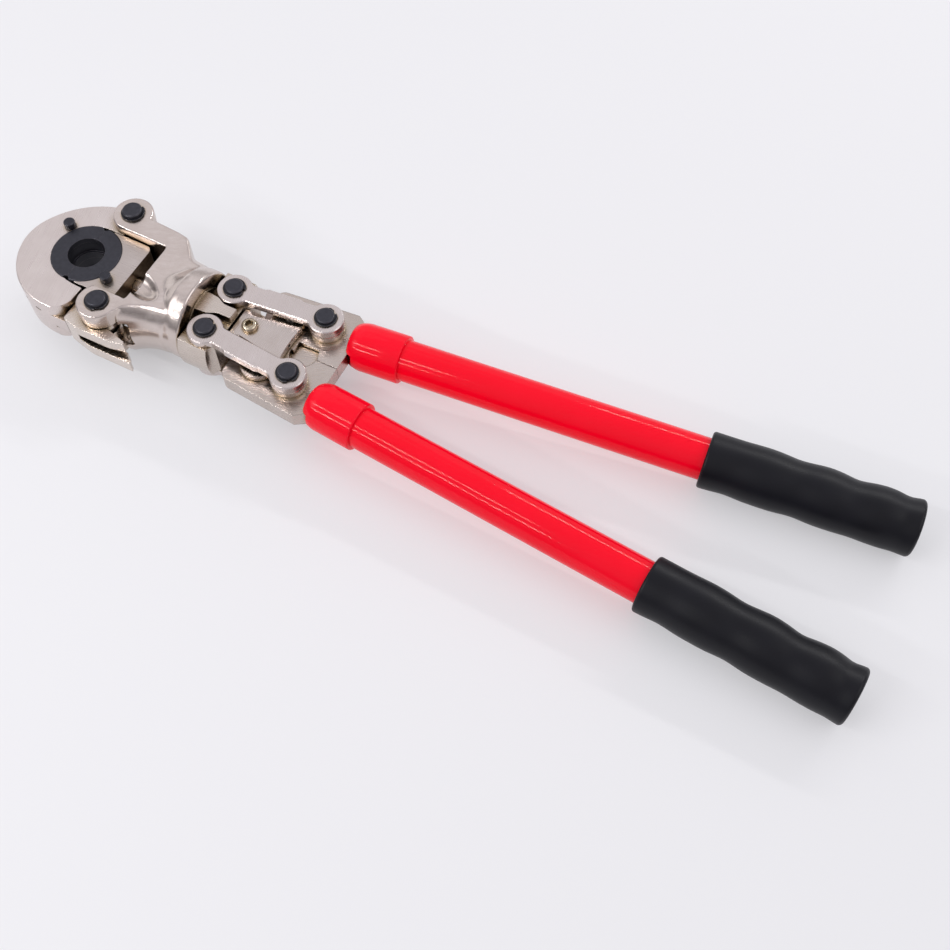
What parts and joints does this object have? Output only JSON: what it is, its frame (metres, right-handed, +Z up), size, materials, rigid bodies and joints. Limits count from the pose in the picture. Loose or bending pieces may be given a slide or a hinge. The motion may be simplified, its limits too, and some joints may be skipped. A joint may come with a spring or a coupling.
{
  "type": "pipe press pliers",
  "caption": "Hand-operated pipe press pliers: hinged swivelling press head with round split dies, toggle linkage and telescopic tubular handles with rubber grips.",
  "frame": {"origin": "centre of the bore of the closed dies, at mid-height", "axes": "+X along the tool towards the handles, +Z up along the bore of the dies"},
  "size_m": [0.5505, 0.1402, 0.057],
  "materials": {
    "plated_steel": "satin bright nickel plate",
    "black_steel": "black oxide",
    "spring_steel": "drawn wire",
    "bronze": "turned",
    "red_coat": "gloss coat",
    "red_plastic": "moulded gloss",
    "black_rubber": "moulded matt",
    "nylon": "turned"
  },
  "bodies": {
    "press_body": {"body_block": "plated_steel", "ram_bush": "bronze", "front_link_pins": "black_steel", "front_link_clips": "black_steel"},
    "head": {"yoke": "plated_steel", "hinge_pin": "black_steel", "hinge_pin_clips": "black_steel", "latch_pin": "black_steel", "latch_pin_clips": "black_steel", "swivel_screws": "black_steel", "latch_spring": "spring_steel"},
    "jaw": {"jaw_frame": "plated_steel", "fixed_die": "black_steel", "front_button_spring": "spring_steel"},
    "front_button": {"front_die_button": "black_steel"},
    "latch": {"latch_lever": "plated_steel"},
    "carrier": {"die_carrier": "plated_steel", "moving_die": "black_steel", "ram_nose_pins": "black_steel", "rear_button_spring": "spring_steel"},
    "rear_button": {"rear_die_button": "black_steel"},
    "ram": {"ram_rod": "plated_steel", "pusher": "plated_steel", "crank_pins": "black_steel", "pusher_screw": "plated_steel"},
    "right_link": {"right_link_plates": "plated_steel", "right_link_pin": "black_steel", "right_link_clips": "black_steel"},
    "right_lever": {"right_arm": "plated_steel", "right_spacer_washers": "plated_steel", "right_inner_tube": "plated_steel", "right_tube_rivet": "black_steel", "right_stop_bush": "nylon"},
    "right_handle": {"right_collar": "red_plastic", "right_outer_tube": "red_coat", "right_grip": "black_rubber"},
    "left_link": {"left_link_plates": "plated_steel", "left_link_pin": "black_steel", "left_link_clips": "black_steel"},
    "left_lever": {"left_arm": "plated_steel", "left_spacer_washers": "plated_steel", "left_inner_tube": "plated_steel", "left_tube_rivet": "black_steel", "left_stop_bush": "nylon"},
    "left_handle": {"left_collar": "red_plastic", "left_outer_tube": "red_coat", "left_grip": "black_rubber"}
  },
  "joints": [
    {"name": "head_swivel", "type": "hinge", "parent": "press_body", "child": "head", "pos_m": [0, 0, 0], "axis": [1, 0, 0], "continuous": true},
    {"name": "jaw_open", "type": "hinge", "parent": "head", "child": "jaw", "pos_m": [0.012, 0.035, 0], "axis": [0, 0, -1], "range_deg": [0, 100]},
    {"name": "latch_release", "type": "hinge", "parent": "head", "child": "latch", "pos_m": [0.0315, -0.0305, 0], "axis": [0, 0, 1], "range_deg": [0, 15], "stiffness_Nm_per_rad": 0.8, "springref_deg": -17.19},
    {"name": "front_button_press", "type": "slide", "parent": "jaw", "child": "front_button", "axis": [0, 0, -1], "range_m": [0, 0.003], "stiffness_N_per_m": 600, "springref_m": -0.002, "deforming": ["front_button_spring"]},
    {"name": "rear_button_press", "type": "slide", "parent": "carrier", "child": "rear_button", "axis": [0, 0, -1], "range_m": [0, 0.003], "stiffness_N_per_m": 600, "springref_m": -0.002, "deforming": ["rear_button_spring"]},
    {"name": "ram_slide", "type": "slide", "parent": "press_body", "child": "ram", "axis": [1, 0, 0], "range_m": [0, 0.0096]},
    {"name": "carrier_slide", "type": "slide", "parent": "head", "child": "carrier", "axis": [1, 0, 0], "range_m": [0, 0.0096]},
    {"name": "right_link_swing", "type": "hinge", "parent": "press_body", "child": "right_link", "pos_m": [0.0963, 0.0163, 0], "axis": [0, 0, 1], "range_deg": [0, 21.5]},
    {"name": "right_arm_open", "type": "hinge", "parent": "right_link", "child": "right_lever", "pos_m": [0.15575, 0.02171, 0], "axis": [0, 0, 1], "range_deg": [0, 50.77]},
    {"name": "right_handle_extend", "type": "slide", "parent": "right_lever", "child": "right_handle", "axis": [0.9959, 0.0906, 0], "range_m": [0, 0.185]},
    {"name": "left_link_swing", "type": "hinge", "parent": "press_body", "child": "left_link", "pos_m": [0.0963, -0.0163, 0], "axis": [0, 0, -1], "range_deg": [0, 21.5]},
    {"name": "left_arm_open", "type": "hinge", "parent": "left_link", "child": "left_lever", "pos_m": [0.15575, -0.02171, 0], "axis": [0, 0, -1], "range_deg": [0, 50.77]},
    {"name": "left_handle_extend", "type": "slide", "parent": "left_lever", "child": "left_handle", "axis": [0.9959, -0.0906, 0], "range_m": [0, 0.185]}
  ],
  "couplings": [
    {"joint": "left_arm_open", "follows": "right_arm_open", "ratio": 1},
    {"joint": "right_link_swing", "follows": "right_arm_open", "ratio": 0.415},
    {"joint": "left_link_swing", "follows": "right_arm_open", "ratio": 0.415},
    {"joint": "ram_slide", "follows": "right_arm_open", "m_per_rad": 0.010643},
    {"joint": "carrier_slide", "follows": "right_arm_open", "m_per_rad": 0.010643}
  ]
}
